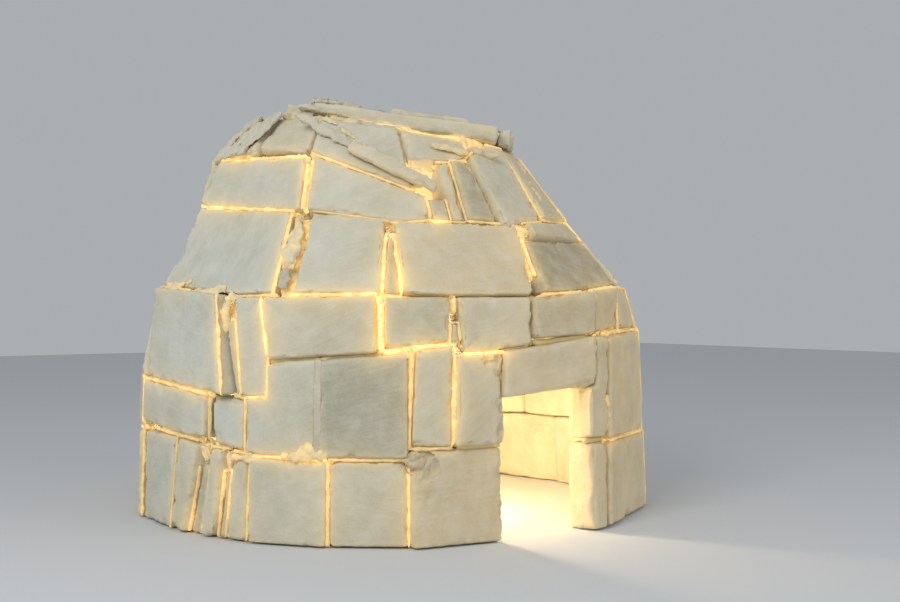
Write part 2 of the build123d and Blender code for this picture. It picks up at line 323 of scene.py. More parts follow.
def gridded(mesh, size):
    """A closed mesh rebuilt as an even grid of small faces."""
    stock = bpy.data.objects.new("stock", mesh)
    bpy.context.scene.collection.objects.link(stock)
    remesh = stock.modifiers.new("grid", "REMESH")
    remesh.mode = "VOXEL"
    remesh.voxel_size = size
    evaluated = stock.evaluated_get(bpy.context.evaluated_depsgraph_get())
    made = bpy.data.meshes.new_from_object(evaluated)
    bpy.data.objects.remove(stock)
    return made


def read(items, name, width, kind=float):
    """A value of every item of a mesh as an array, one row to an item."""
    found = np.empty(len(items) * width, dtype=kind)
    items.foreach_get(name, found)
    return found.reshape(-1, width)


def move_to(mesh, points):
    mesh.vertices.foreach_set("co", points.ravel())
    mesh.update()


def relaxed(points, edges, rounds):
    """Moves each point halfway to the middle of its neighbours, so that sharp edges round off."""
    starts, ends = edges.T
    count = np.bincount(edges.ravel(), minlength=len(points))
    for _ in range(rounds):
        total = np.stack(
            [
                np.bincount(starts, points[ends, axis], len(points))
                + np.bincount(ends, points[starts, axis], len(points))
                for axis in range(3)
            ],
            axis=1,
        )
        points = (points + total / count[:, None]) / 2
    return points


def bitten(points, bites):
    """Takes a rough hollow out of the points round each bite's middle, which lies off the face."""
    for middle, radius in bites:
        away = points - np.array(middle)
        distance = np.linalg.norm(away, axis=1)
        for place in np.nonzero(distance < radius * bite_reach)[0]:
            spot = Vector(points[place]) / (radius * bite_patch)
            ragged = radius * (1 + bite_raggedness * noise.fractal(spot, 0.8, 2.0, 3))
            if distance[place] < ragged:
                points[place] = np.array(middle) + away[place] * (ragged / max(distance[place], 1e-6))
    return points


def halo_at(point):
    """How strongly the nearest joint's painted glow shows in the snow at a point."""
    spot, nearest, distance = glow_tree.find(point)
    near = near_strength * math.exp(-((distance / near_halo) ** halo_fall))
    wide = wide_strength * math.exp(-((distance / wide_halo) ** halo_fall))
    return glow_points[nearest][1] * (near + wide)


def weathered(slab, seed, chips, rounds, dish, stroke_angle, painted_shade, bites):
    """The slab's worn mesh, with what its finish needs at each point, painted halo, warmth and shade among
    it.
    """
    mesh = gridded(slab.mesh, ring_grid if "_blocks_" in slab.node else grid)
    sharp = read(mesh.vertices, "co", 3)
    edges = read(mesh.edges, "vertices", 2, np.int32)
    edge = np.linalg.norm(relaxed(sharp, edges, edge_rounds) - sharp, axis=1) / grid
    edge = np.clip(edge, 0, 1)
    points = relaxed(sharp, edges, rounds)
    move_to(mesh, points)
    normals = read(mesh.vertices, "normal", 3)
    offset = Vector((seed * 3.1, seed * 1.7, seed * 2.3))
    facing = np.clip(np.abs(normals @ np.array(slab.normal)), side_wear, 1)
    push = np.empty(len(points))
    for number, point in enumerate(points):
        spot = Vector(point) + offset
        hollow = dish * (0.5 + 0.5 * noise.noise(spot / dish_size))
        rough = crust * (1 + noise.fractal(spot / crust_size, 0.6, 2.0, 3))
        chip = max(0, noise.fractal(spot / chip_size, 0.7, 2.3, 4)) * edge[number]
        push[number] = (hollow + max(rough, 0)) * facing[number] + chips * chip_depth * chip
    points = bitten(points - normals * push[:, None], bites)
    points[:, 2] = np.maximum(points[:, 2], 0)
    move_to(mesh, points)
    own = points - np.array(slab.middle)
    turn = math.radians(stroke_angle)
    stroke = slab.along * math.cos(turn) + slab.up * math.sin(turn)
    directions = np.array([stroke, slab.normal.cross(stroke), slab.normal])
    # Painted glow round the bright joints, kept to the outer few centimetres of the slab.
    halo = np.array([halo_at(point) for point in points])
    halo[-own @ np.array(slab.normal) > face_depth] = 0
    values = {
        "grain": own @ directions.T + np.array(offset),
        "halo": halo,
        "edge": edge,
        # Warmth by the doorway is painted lamplight, added to each slab's own difference.
        "painted_warmth_and_tone": painted_warmth_and_tones_at(points, slab_variation * (random.Random(seed).random() - 0.5)),
        # The darkening of a thick slab is painted shade.
        "painted_shade": np.full(len(points), painted_shade),
    }
    return mesh, values


# Snow by the doorway is painted warm with lamplight and snow at the left painted cool. Slabs differ a little
# too.
warm_side = np.array((0.35, -1.35, 0.6))
warm_reach = 1.05
warm_rise = 0.55
cool_side = np.array((-1.3, -0.2, 0.9))
cool_reach = 0.9
cool_fall = 0.42
usual_tone = 0.42
slab_variation = 0.34


def painted_warmth_and_tones_at(points, own):
    """How warm the painted lamplight makes the snow at each point, from 0 to 1, with a slab's own difference
    added.
    """
    warmth = np.exp(-((np.linalg.norm(points - warm_side, axis=1) / warm_reach) ** 2))
    coolness = np.exp(-((np.linalg.norm(points - cool_side, axis=1) / cool_reach) ** 2))
    return np.clip(usual_tone + warm_rise * warmth - cool_fall * coolness + own, 0, 1)


def joined(name, made):
    """One mesh object of several worn slabs, with their values kept at each point."""
    solids = bmesh.new()
    for mesh, values in made:
        solids.from_mesh(mesh)
    whole = bpy.data.meshes.new(name)
    solids.to_mesh(whole)
    solids.free()
    for value in made[0][1]:
        data = np.concatenate([values[value] for mesh, values in made]).astype(np.float32)
        kind = "FLOAT_VECTOR" if data.ndim == 2 else "FLOAT"
        attribute = whole.attributes.new(value, kind, "POINT")
        attribute.data.foreach_set("vector" if data.ndim == 2 else "value", data.ravel())
    for mesh, values in made:
        bpy.data.meshes.remove(mesh)
    whole.polygons.foreach_set("use_smooth", np.ones(len(whole.polygons), dtype=bool))
    piece = bpy.data.objects.new(name, whole)
    bpy.context.scene.collection.objects.link(piece)
    return piece


# Wind-packed snow, sawn: a matt off-white with ice's low gloss, cool and dark with painted shade where it
# is thick and creamy with painted lamplight where light soaks through. Saw strokes leave faint streaks, and
# grains and crust a fine roughness.
ice_ior = 1.31


def linear(hex_colour):
    """An sRGB colour written as six hex digits, as linear red, green, blue and full alpha."""
    channels = [int(hex_colour[start:start + 2], 16) / 255 for start in (0, 2, 4)]
    return (*(c / 12.92 if c <= 0.04045 else ((c + 0.055) / 1.055) ** 2.4 for c in channels), 1)


def add(tree, kind, output, settings={}, sockets={}):
    """Adds a shader node, sets it and its sockets or links them, and gives one of its outputs."""
    made = tree.nodes.new(kind)
    for name, value in settings.items():
        setattr(made, name, value)
    for socket, value in sockets.items():
        if isinstance(value, bpy.types.NodeSocket):
            tree.links.new(value, made.inputs[socket])
        else:
            made.inputs[socket].default_value = value
    return None if output is None else made.outputs[output]


def new_material(name):
    material = bpy.data.materials.new(name)
    material.use_nodes = True
    material.node_tree.nodes.clear()
    return material, material.node_tree


# Snow grains are 1 to 2 mm across, too fine to show from here, so they are drawn at 7 mm. A patch's
# size, detail and roughness come first, then the range of it that shows, and how strongly.
snow_patches = {
    "stain": (0.3, 3, 0.5, 0.35, 0.7, 0.42),
    "mottle": (0.09, 4, 0.6, 0.4, 0.7, 0.26),
    "crust": (0.03, 5, 0.62, 0.2, 0.8, 1),
    "grains": (0.007, 2, 0.5, 0.3, 0.75, 0.13),
}
stroke_gap = 0.012
stroke_length = 0.18


def packed_snow():
    material, tree = new_material("wind_packed_snow_sawn")
    grain = add(tree, "ShaderNodeAttribute", "Vector", {"attribute_name": "grain"})
    # These values carry the painted halo, the painted lamplight warmth with each slab's own difference, the     painted shade of thick slabs and the nearness of an edge.
    worn = {
        name: add(tree, "ShaderNodeAttribute", "Fac", {"attribute_name": name})
        for name in ("halo", "edge", "painted_warmth_and_tone", "painted_shade")
    }
    patch = {}
    for name, (size, detail, roughness, low, high, most) in snow_patches.items():
        sockets = {"Vector": grain, "Scale": 1 / size, "Detail": detail, "Roughness": roughness}
        found = add(tree, "ShaderNodeTexNoise", "Fac", {}, sockets)
        sockets = {"Value": found, "From Min": low, "From Max": high, "To Max": most}
        patch[name] = add(tree, "ShaderNodeMapRange", 0, {}, sockets)
    scale = (1 / stroke_length, 1 / stroke_gap, 1 / stroke_gap)
    stretched = add(tree, "ShaderNodeMapping", 0, {}, {"Vector": grain, "Scale": scale})
    found = add(tree, "ShaderNodeTexNoise", "Fac", {}, {"Vector": stretched, "Scale": 1, "Roughness": 0.6})
    sockets = {"Value": found, "From Min": 0.45, "From Max": 0.75, "To Max": 0.13}
    strokes = add(tree, "ShaderNodeMapRange", 0, {}, sockets)
    # A lighter, creamier colour towards each slab's edges.
    edge_lightening = add(tree, "ShaderNodeMath", 0, {"operation": "MULTIPLY"}, {0: worn["edge"], 1: 0.3})
    # Among these layers the warm one is painted lamplight with each slab's own difference, the dark brown one     painted shade and the cream halo a painted glow; stain, mottle, strokes and grains are the snow's own.
    body = linear("C6CDC6")
    layers = (
        (worn["painted_warmth_and_tone"], "E6C890"),
        (worn["painted_shade"], "857A5E"),
        (patch["stain"], "A8A284"),
        (patch["mottle"], "EFEBDD"),
        (strokes, "F2EDDF"),
        (patch["grains"], "F6F3E8"),
        (edge_lightening, "F0E2BC"),
        (worn["halo"], "F9DDA0"),
    )
    for share, colour in layers:
        body = add(tree, "ShaderNodeMix", 2, {"data_type": "RGBA"}, {0: share, 6: body, 7: linear(colour)})
    height = patch["crust"]
    for rise, much in ((strokes, 0.35), (patch["grains"], 1.2), (patch["mottle"], 2.5)):
        height = add(tree, "ShaderNodeMath", 0, {"operation": "MULTIPLY_ADD"}, {0: rise, 1: much, 2: height})
    bump = add(tree, "ShaderNodeBump", 0, {}, {"Height": height, "Strength": 0.42, "Distance": 0.006})
    # The halo also glows by itself, as painted emission.
    soaked = add(tree, "ShaderNodeMath", 0, {"operation": "POWER"}, {0: worn["halo"], 1: 1.7})
    glow = add(tree, "ShaderNodeMath", 0, {"operation": "MULTIPLY"}, {0: soaked, 1: 0.42})
    sockets = {
        "Base Color": body,
        "Roughness": 0.84,
        "IOR": ice_ior,
        "Normal": bump,
        "Emission Color": linear("FFC877"),
        "Emission Strength": glow,
    }
    surface = add(tree, "ShaderNodeBsdfPrincipled", 0, {}, sockets)
    add(tree, "ShaderNodeOutputMaterial", None, {}, {"Surface": surface})
    return material


sawn_snow = packed_snow()
usual_wear = 4
usual_dish = 0.006


def set_slabs(
    node, chips=1.0, rounds=usual_wear, dish=usual_dish, angle=None, painted_shade=0.0, bites=()
):
    """Replaces a node of the frame with its worn slabs. A bite is a place on the face and a radius. A thick
    slab's darkening is painted shade.
    """
    made = []
    for slab in slabs[node]:
        seed = every_slab.index(slab) + 1
        stroke_angle = random.Random(seed * 7).uniform(-12, 28) if angle is None else angle
        hollows = [(slab.place(right, high, -0.45 * radius), radius) for right, high, radius in bites]
        made.append(weathered(slab, seed, chips, rounds, dish, stroke_angle, painted_shade, hollows))
    piece = joined(node + "_snow", made)
    piece.data.materials.append(sawn_snow)
    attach(piece, "root")
    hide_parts(node)
    return piece


# Course 1
# The lowest ring of sawn snow blocks stands on the ground, on edge and nearly upright. Each block is
# trimmed with a knife to its neighbours, and a few narrow ones at the left leave open cracks.
for node in ("course_1_blocks_a", "course_1_blocks_b", "front_block_1a", "front_block_1b"):
    set_slabs(node)

# The doorway
# A snow block on edge and an upper one stand at each side. Their edges are knocked about from crawling
# in and out, and the lintel lies over them in a notch.
set_slabs(
    "left_jamb_lower",
    bites=[
        (-0.92, 0.84, 0.1), (-0.66, 0.68, 0.075), (1.0, 0.92, 0.03), (1.04, 0.46, 0.055),
        (1.03, 0.02, 0.034), (1.04, -0.42, 0.05), (1.0, -0.86, 0.034),
    ],
)
set_slabs(
    "left_jamb_upper",
    angle=35,
    bites=[
        (-0.4, 1.06, 0.04), (-0.05, 1.02, 0.05), (0.2, 0.88, 0.058), (0.42, 0.66, 0.05),
        (0.54, 0.26, 0.036), (0.54, -0.14, 0.05), (0.52, -0.62, 0.05), (0.42, -0.94, 0.04),
    ],
)
set_slabs("right_jamb_lower", bites=[(-1.0, 0.5, 0.02), (-1.02, -0.4, 0.025), (0.7, 0.96, 0.03)])
set_slabs(
    "right_jamb_upper",
    bites=[(-1.0, 0.5, 0.02), (0.72, -0.3, 0.035), (0.95, -0.62, 0.04), (0.5, -0.9, 0.03)],
)
set_slabs(
    "lintel",
    angle=8,
    bites=[(0.95, 0.95, 0.04), (0.84, 1.0, 0.03), (-0.98, -0.9, 0.02), (0.1, -1.04, 0.02)],
)

# Course 2
# The second ring of snow blocks is upright too. One of them is cut with a step, and the doorway
# breaks the ring.
for node in ("course_2_blocks_a", "course_2_blocks_b", "front_block_2a"):
    set_slabs(node)
# Block 2b is darker with painted shade.
set_slabs("front_block_2b", painted_shade=0.52)
set_slabs("front_block_2c", angle=30)

# Course 3
# From here the wall of snow blocks begins to lean in. The blocks differ in height, so the beds step
# up and down.
for node in ("course_3_blocks_a", "course_3_blocks_b"):
    set_slabs(node)
# Some of these blocks are darker with painted shade.
for letter, painted_shade in zip("abcdefg", (0, 0, 0.1, 0.34, 0.05, 0.3, 0.15)):
    set_slabs("front_block_3" + letter, painted_shade=painted_shade)

# Course 4
# Large slabs of snow lean well in, held by their neighbours. A thin slab levels the low one at the
# right.
for node in ("course_4_blocks_a", "course_4_blocks_b"):
    set_slabs(node)
set_slabs("front_block_4a", angle=84, chips=1.3)
set_slabs("front_block_4b", angle=16)
set_slabs("front_block_4c", angle=9)
# Block 4d and the levelling slab are darker with painted shade.
set_slabs("front_block_4d", painted_shade=0.62)
set_slabs("levelling_slab", painted_shade=0.15)

# Course 5
# The last full ring of snow blocks. One long block has a head that slopes down to the right, and the
# leaning roof slab rests on it.
for node in ("course_5_blocks_a", "course_5_blocks_b", "front_block_5a", "front_block_5b", "front_block_5d"):
    set_slabs(node)
# Block 5c is darker with painted shade.
set_slabs("front_block_5c", painted_shade=0.6)

# The roof
# Slabs of snow lean together over the last ring and long slabs close the gap. Most are thinner than
# the blocks, and they look melted, with round edges and wavy faces.
melted = 13
roof_dish = 0.016
for node in ("roof_slabs_a", "roof_slabs_b", "front_roof_slab", "leaning_roof_slab"):
    set_slabs(node, rounds=9, dish=0.011)
set_slabs("leaning_plank", rounds=8, dish=0.008)
for node in ("closing_slab_front", "closing_slab_middle", "closing_slab_back"):
    set_slabs(node, rounds=melted, dish=roof_dish)
set_slabs("small_roof_slabs", rounds=9, dish=0.009, chips=1.3)

# Chinking pieces
# Offcuts of the blocks stand in the widest joints. They are thicker than the loose snow round them,
# so less light would come through, and their darker colour is painted shade.
set_slabs("chinking_pieces", rounds=2, dish=0.002, painted_shade=0.5, chips=0.3)

# Loose snow
# Trimmings and broken offcuts are thrown on the roof and packed by hand into the widest holes. Those in the
# wall are thin enough for the lamp to light them, and that light is painted on as a glow.
lump_grid = 0.008
lump_step = 0.55
rough_size = 0.03
rough_depth = 0.02
box_margin = 0.001
lit_patch = 0.035


def finished_snow(name, stock, lit, painted_shade, rough, worn):
    """Turns rough closed stock into one mass of loose snow, cut off flat at the box of the slabs, with a
    painted glow and painted shade.
    """
    mesh = gridded(stock, lump_grid)
    edges = read(mesh.edges, "vertices", 2, np.int32)
    points = relaxed(read(mesh.vertices, "co", 3), edges, worn)
    move_to(mesh, points)
    normals = read(mesh.vertices, "normal", 3)
    push = np.array([noise.fractal(Vector(point) / rough_size, 0.7, 2.0, 3) for point in points])
    points = points + normals * (push * rough * rough_depth)[:, None]
    lowest, highest = (np.array(corner) for corner in cad_box)
    points = np.clip(points, lowest + box_margin, highest - box_margin)
    move_to(mesh, points)
    patches = np.array([0.75 + 0.6 * noise.noise(Vector(point) / lit_patch) for point in points])
    values = {
        "grain": points,
        # Painted glow, in patches.
        "halo": np.clip(lit * patches, 0, 1.2),
        "edge": np.full(len(points), 0.3),
        "painted_warmth_and_tone": painted_warmth_and_tones_at(points, 0),
        "painted_shade": np.full(len(points), painted_shade),
    }
    piece = joined(name, [(mesh, values)])
    piece.data.materials.append(sawn_snow)
    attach(piece, "root")
    return piece


def broken_bit(heap, slab, middle, radius, flat, turn, chance):
    """An angular bit of snow lying along a slab's face, flat times as thick as it is wide."""
    across = slab.along * math.cos(turn) + slab.up * math.sin(turn)
    lie = slab.normal.cross(across)
    long = chance.uniform(1.0, 1.7)
    for vertex in bmesh.ops.create_icosphere(heap, subdivisions=1, radius=1)["verts"]:
        x, y, z = vertex.co * radius * chance.uniform(0.6, 1.2)
        vertex.co = middle + across * (long * x) + lie * y + slab.normal * (z * flat)


def loose_snow(
    name, runs, lit=0.0, painted_shade=0.0, rough=0.3, flat=0.9, worn=2, turns=(0, math.tau)
):
    """Broken bits packed together. A run is a slab and places on its face: right, high, out, radius."""
    chance = random.Random(name)
    heap = bmesh.new()
    for slab, places in runs:
        points = [(slab.place(right, high, -out), radius) for right, high, out, radius in places]
        for start, end in zip(points, points[1:] or points):
            gap = (end[0] - start[0]).length
            count = max(1, round(gap / (lump_step * (start[1] + end[1]) / 2)))
            for step in range(count + 1):
                share = step / count
                radius = (start[1] * (1 - share) + end[1] * share) * chance.uniform(0.75, 1.15)
                shift = slab.along * chance.uniform(-0.3, 0.3) + slab.up * chance.uniform(-0.3, 0.3)
                middle = start[0].lerp(end[0], share) + shift * radius
                broken_bit(heap, slab, middle, radius, flat, chance.uniform(*turns), chance)
    stock = bpy.data.meshes.new(name)
    heap.to_mesh(stock)
    heap.free()
    return finished_snow(name, stock, lit, painted_shade, rough, worn)


def thrown(slab, count, rights, highs, radii, seed):
    """Runs of one bit each, scattered over part of a slab's face and sunk a little into it."""
    chance = random.Random(seed)
    runs = []
    for _ in range(count):
        radius = chance.uniform(*radii)
        runs.append((slab, [(chance.uniform(*rights), chance.uniform(*highs), 0.15 * radius, radius)]))
    return runs


block_2a = slabs["front_block_2a"][0]
block_3b = slabs["front_block_3b"][0]
block_3e = slabs["front_block_3e"][0]
block_4a = slabs["front_block_4a"][0]
block_4b = slabs["front_block_4b"][0]
block_5a = slabs["front_block_5a"][0]
block_5b = slabs["front_block_5b"][0]
left_jamb = slabs["left_jamb_lower"][0]
right_jamb = slabs["right_jamb_upper"][0]
left_roof_slab = slabs["roof_slabs_b"][2]
next_roof_slab = slabs["roof_slabs_a"][3]
closing_front, closing_middle = slabs["closing_slab_front"][0], slabs["closing_slab_middle"][0]
end_block, far_top_block = slabs["small_roof_slabs"][1:]

loose_snow(
    "lump_between_4a_and_4b",
    [(block_4b, [
        (-1.16, 0.84, -0.035, 0.026), (-1.2, 0.3, -0.02, 0.04),
        (-1.22, 0.0, -0.015, 0.04), (-1.24, -0.25, -0.03, 0.034),
    ])],
    lit=0.6,
)
loose_snow(
    "backing_between_4a_and_4b",
    [(block_4b, [(-1.12, 0.86, -0.09, 0.045), (-1.16, 0.0, -0.08, 0.05), (-1.22, -0.8, -0.08, 0.045)])],
    lit=1.0,
)
loose_snow(
    "plug_under_the_lump",
    [(block_4b, [(-1.27, -0.45, -0.02, 0.026), (-1.28, -0.72, -0.02, 0.026)])],
    lit=0.18, painted_shade=0.5,
)
loose_snow(
    "snow_under_2a_and_2b",
    [
        (block_2a, [
            (0.3, -0.86, -0.005, 0.02), (0.6, -0.8, 0.0, 0.026),
            (0.92, -0.76, -0.002, 0.03), (1.15, -0.82, -0.01, 0.02),
        ]),
        (block_2a, [(0.7, -0.66, -0.012, 0.022), (1.02, -0.6, -0.014, 0.024)]),
        (block_2a, [(-0.95, -0.9, -0.01, 0.018), (-0.6, -0.9, -0.008, 0.022), (-0.35, -0.92, -0.012, 0.018)]),
    ],
    lit=0.85, rough=0.5, flat=0.6,
)
loose_snow(
    "cap_between_3a_and_3b",
    [(block_3b, [(-1.28, 0.95, -0.03, 0.024), (-1.34, 0.72, -0.035, 0.026), (-1.36, 0.45, -0.04, 0.026)])],
    lit=0.85,
)
loose_snow(
    "backing_between_3a_and_3b",
    [(block_3b, [(-1.3, 0.9, -0.085, 0.04), (-1.34, -0.2, -0.085, 0.04)])],
    lit=1.0,
)
loose_snow(
    "ledges_under_4a",
    [
        (block_4a, [(-0.9, -0.33, 0.0, 0.016), (-0.72, -0.38, 0.003, 0.024), (-0.56, -0.31, 0.0, 0.015)]),
        (block_4a, [(-0.42, -0.47, 0.0, 0.02), (-0.22, -0.5, 0.003, 0.028), (-0.02, -0.44, 0.002, 0.026)]),
        (block_4a, [(0.1, -0.54, -0.008, 0.02), (0.24, -0.55, -0.008, 0.022)]),
    ],
    lit=0.7, flat=0.5,
)
loose_snow(
    "snow_over_5a",
    [(block_5a, [
        (-0.75, 1.04, -0.03, 0.02), (-0.2, 0.96, -0.03, 0.02),
        (0.3, 0.84, -0.03, 0.022), (0.86, 0.74, -0.03, 0.024),
    ])],
    lit=0.95, flat=0.7,
)
loose_snow(
    "snow_under_the_plank",
    [(block_5b, [(0.56, 0.14, -0.035, 0.02), (0.74, 0.04, -0.038, 0.02)])],
    lit=0.7, flat=0.6,
)
loose_snow(
    "lump_in_left_jamb_lower",
    [(left_jamb, [(-0.9, 0.8, -0.06, 0.045), (-0.72, 0.7, -0.055, 0.04)])],
    lit=0.22, painted_shade=0.45, rough=0.3, flat=0.7, worn=1,
)
loose_snow(
    "snow_over_left_jamb_upper",
    [(block_3e, [(-0.9, -0.86, -0.03, 0.018), (-0.5, -0.84, -0.026, 0.018), (-0.1, -0.86, -0.028, 0.022)])],
    lit=1.15,
)
loose_snow(
    "crumbs_right_of_the_doorway",
    [
        (right_jamb, [(0.66, -0.25, -0.02, 0.02), (0.8, -0.45, -0.018, 0.022)]),
        (right_jamb, [(0.92, -0.55, -0.022, 0.024), (0.78, -0.8, -0.02, 0.02)]),
        (right_jamb, [(0.5, -0.84, -0.018, 0.02)]),
    ],
    lit=0.5, rough=0.5, flat=0.7,
)
left_block = slabs["course_1_blocks_a"][6]
loose_snow(
    "snow_in_the_left_recesses",
    [
        (left_block, [(-0.78, 0.93, -0.02, 0.02), (-0.74, 0.72, -0.035, 0.02)]),
        (left_block, [(1.28, 0.86, -0.02, 0.02), (1.22, 0.62, -0.035, 0.02)]),
    ],
    lit=0.9,
)
loose_snow(
    "rubble_on_the_left_roof",
    thrown(left_roof_slab, 34, (-0.95, 0.95), (-0.85, 1.0), (0.024, 0.06), 1)
    + [
        (next_roof_slab, [(-1.2, 0.3, 0.0, 0.024), (-1.08, 0.74, 0.0, 0.028), (-0.82, 0.98, 0.0, 0.03)]),
        (next_roof_slab, [(-0.56, 1.2, -0.01, 0.032), (-0.24, 1.3, -0.02, 0.034), (0.1, 1.35, -0.03, 0.034)]),
    ],
    rough=0.3, flat=0.34, worn=1, turns=(0.9, 2.2),
)
loose_snow(
    "rubble_on_the_roof",
    thrown(closing_middle, 24, (-0.84, -0.3), (-0.7, 0.9), (0.02, 0.04), 3)
    + thrown(closing_front, 12, (-0.9, -0.55), (-0.8, 0.9), (0.018, 0.034), 4)
    + thrown(far_top_block, 8, (-0.9, 0.9), (-0.9, 0.9), (0.018, 0.03), 5)
    + thrown(closing_middle, 8, (0.3, 0.95), (-0.9, 0.2), (0.014, 0.026), 7)
    + [
        (closing_front, [
            (-1.08, -0.9, -0.05, 0.034), (-0.98, -1.1, -0.06, 0.04), (-0.6, -1.15, -0.07, 0.03),
        ]),
        (closing_front, [(-1.1, 0.2, -0.06, 0.04), (-1.12, -0.5, -0.08, 0.045)]),
        (closing_middle, [(-0.72, -1.1, 0.015, 0.034), (-0.4, -1.2, 0.012, 0.03)]),
        (end_block, [(0.0, -2.6, -0.04, 0.026), (1.3, -2.2, -0.045, 0.024)]),
    ],
    rough=0.4, flat=0.55, worn=1,
)
# The lump's darkness is painted shade.
loose_snow(
    "dark_lump_on_the_roof",
    [(closing_middle, [(-0.26, -0.31, 0.012, 0.024), (-0.2, -0.31, 0.02, 0.028)])],
    painted_shade=0.9, flat=0.8, worn=1,
)
leaning_slab = slabs["leaning_roof_slab"][0]
front_slab = slabs["front_roof_slab"][0]
loose_snow(
    "ridge_on_the_leaning_slab",
    [(leaning_slab, [
        (-1.1, 0.64, 0.0, 0.03), (-0.88, 0.5, 0.004, 0.034), (-0.55, 0.27, 0.004, 0.034),
        (-0.19, 0.0, 0.003, 0.03), (0.2, -0.28, 0.0, 0.026), (0.46, -0.5, -0.002, 0.018),
    ])],
    painted_shade=0.1, rough=0.45, flat=0.5, worn=1, turns=(-0.9, -0.3),
)
loose_snow(
    "lit_crumbs_on_the_leaning_slab",
    [
        (leaning_slab, [
            (-0.32, 0.36, -0.004, 0.018), (-0.14, 0.2, -0.004, 0.016), (0.06, 0.02, -0.004, 0.014),
        ]),
        (leaning_slab, [(-0.7, 0.66, -0.004, 0.022), (-0.46, 0.52, -0.004, 0.018)]),
    ],
    lit=0.36, rough=0.4, flat=0.4, worn=1, turns=(-1.0, -0.2),
)
loose_snow(
    "light_piece_on_the_front_roof_slab",
    [(front_slab, [(-0.05, 0.1, 0.004, 0.026), (0.35, -0.02, 0.005, 0.03), (0.72, -0.17, 0.003, 0.024)])],
    lit=0.5, rough=0.3, flat=0.6, worn=1, turns=(-0.4, 0.1),
)

# Packing lies under the roof slabs, in the gaps that they leave round the top, and does not fill all
# of them. It is thin and gets a painted glow too.
closing_back = slabs["closing_slab_back"][0]
block_4c = slabs["front_block_4c"][0]
block_5d = slabs["front_block_5d"][0]
loose_snow(
    "packing_under_the_closing_slabs",
    [
        (closing_front, [
            (-0.98, -1.25, -0.13, 0.055), (-0.5, -1.5, -0.11, 0.055), (0.0, -1.45, -0.13, 0.055),
        ]),
        (closing_front, [(0.0, -1.4, -0.16, 0.06), (0.92, -1.25, -0.17, 0.055)]),
        (closing_front, [(-1.1, 0.8, -0.1, 0.07), (-1.15, -0.8, -0.11, 0.07)]),
        (closing_middle, [(-1.1, -0.9, -0.14, 0.07), (-1.12, 1.0, -0.14, 0.07)]),
        (closing_back, [(-1.15, 0.2, -0.13, 0.07), (-0.8, 1.3, -0.12, 0.07), (0.9, 1.25, -0.12, 0.065)]),
        (closing_back, [(-1.16, 0.05, -0.1, 0.06), (-1.15, -0.71, -0.1, 0.06)]),
        (closing_back, [(-1.3, 0.03, -0.1, 0.06), (-1.31, -0.76, -0.1, 0.06)]),
        (closing_back, [(-1.45, -0.13, -0.1, 0.06), (-1.47, -0.95, -0.1, 0.06)]),
    ],
    lit=0.35, rough=0.15, painted_shade=0.2, flat=0.6,
)
loose_snow(
    "packing_by_the_front_roof_slab",
    [
        (front_slab, [
            (-1.15, -0.1, -0.07, 0.055), (-1.05, -0.9, -0.055, 0.05), (-0.75, -1.25, -0.05, 0.045),
        ]),
        (front_slab, [(0.95, 0.1, -0.08, 0.05), (1.3, 0.3, -0.07, 0.045)]),
        (block_4c, [(0.86, 0.98, -0.06, 0.035), (0.86, 0.74, -0.055, 0.032)]),
        (block_5d, [(-0.5, 1.06, -0.04, 0.04), (0.25, 1.08, -0.04, 0.04)]),
    ],
    lit=1.1, rough=0.3, flat=0.6,
)
right_roof_edge = slabs["course_5_blocks_b"][3]
loose_snow(
    "crumbs_down_the_right_edge",
    [
        (right_roof_edge, [(0.1, 0.95, -0.01, 0.02), (0.05, 0.5, -0.008, 0.024)]),
        (right_roof_edge, [(-0.2, 0.2, -0.008, 0.018), (-0.35, -0.2, -0.01, 0.022)]),
        (right_roof_edge, [(-0.5, -0.55, -0.01, 0.02)]),
    ],
    lit=0.4, rough=0.5, flat=0.7,
)

# Joint snow
# Loose snow is pressed into the joints by hand once the slabs stand. It is thin there, and the lamplight
# through it is painted as an uneven golden line that glows by itself.
tight = 0.02
lowest_bead = 0.012
end_taper = 0.6
waver = 0.003
waver_length = 0.05


def glowing_snow():
    material, tree = new_material("chinking_snow_painted_glow")
    place = add(tree, "ShaderNodeTexCoord", "Object")
    sockets = {"Vector": place, "Scale": 1 / 0.03, "Detail": 4, "Roughness": 0.65}
    lumps = add(tree, "ShaderNodeTexNoise", "Fac", {}, sockets)
    sockets = {"Value": lumps, "From Min": 0.35, "From Max": 0.65, "To Min": 0.42, "To Max": 1.05}
    patch = add(tree, "ShaderNodeMapRange", 0, {}, sockets)
    glow = add(tree, "ShaderNodeAttribute", "Fac", {"attribute_name": "glow"})
    strength = add(tree, "ShaderNodeMath", 0, {"operation": "MULTIPLY"}, {0: patch, 1: glow})
    bump = add(tree, "ShaderNodeBump", 0, {}, {"Height": lumps, "Strength": 0.8, "Distance": 0.006})
    sockets = {
        "Base Color": linear("E2CB96"),
        "Roughness": 0.85,
        "IOR": ice_ior,
        "Normal": bump,
        # The golden line is painted light, as emission.
        "Emission Color": linear("FFD38A"),
        "Emission Strength": strength,
    }
    surface = add(tree, "ShaderNodeBsdfPrincipled", 0, {}, sockets)
    add(tree, "ShaderNodeOutputMaterial", None, {}, {"Surface": surface})
    return material


